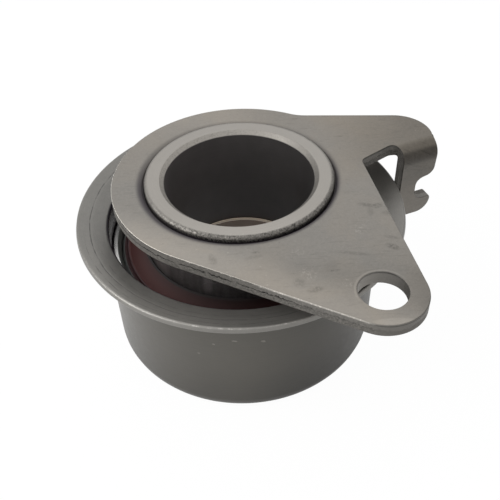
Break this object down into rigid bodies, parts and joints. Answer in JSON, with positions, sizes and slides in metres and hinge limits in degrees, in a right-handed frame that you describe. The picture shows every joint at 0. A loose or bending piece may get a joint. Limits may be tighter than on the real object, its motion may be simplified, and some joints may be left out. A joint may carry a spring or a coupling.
{
  "type": "belt tensioner pulley",
  "caption": "Flanged steel belt pulley on a sealed ball bearing, held on a sleeve hub with a bracket plate that has a bolt ear and a folded spring-hook tab.",
  "frame": {"origin": "on the pulley's spin axis, in the plane of the hub head's flat face", "axes": "+Z along the spin axis, out of the hub's head; +X towards the side of the folded tab; the bolt ear lies towards +X and -Y"},
  "size_m": [0.0866, 0.0844, 0.045],
  "materials": {
    "plate_steel": "satin, rolled sheet with fine scratches and sheared edges",
    "turned_steel": "machined, fine turned rings",
    "drawn_steel": "satin, drawn sheet",
    "bearing_steel": "ground",
    "seal_rubber": "smooth moulded rubber",
    "cage_resin": "moulded"
  },
  "bodies": {
    "bracket": {"bracket_plate": "plate_steel", "hub_sleeve": "turned_steel", "inner_ring": "bearing_steel"},
    "pulley": {"pulley_shell": "drawn_steel", "outer_ring": "bearing_steel", "seal_upper": "seal_rubber", "seal_lower": "seal_rubber"},
    "ball_set": {"ball_cage": "cage_resin", "ball_01": "bearing_steel", "ball_02": "bearing_steel", "ball_03": "bearing_steel", "ball_04": "bearing_steel", "ball_05": "bearing_steel", "ball_06": "bearing_steel", "ball_07": "bearing_steel", "ball_08": "bearing_steel", "ball_09": "bearing_steel", "ball_10": "bearing_steel", "ball_11": "bearing_steel", "ball_12": "bearing_steel", "ball_13": "bearing_steel", "ball_14": "bearing_steel"}
  },
  "joints": [
    {"name": "pulley_spin", "type": "hinge", "parent": "bracket", "child": "pulley", "pos_m": [0, 0, -0.0248], "axis": [0, 0, 1], "continuous": true},
    {"name": "ball_set_spin", "type": "hinge", "parent": "bracket", "child": "ball_set", "pos_m": [0, 0, -0.0248], "axis": [0, 0, 1], "continuous": true}
  ],
  "couplings": [
    {"joint": "ball_set_spin", "follows": "pulley_spin", "ratio": 0.56225}
  ]
}
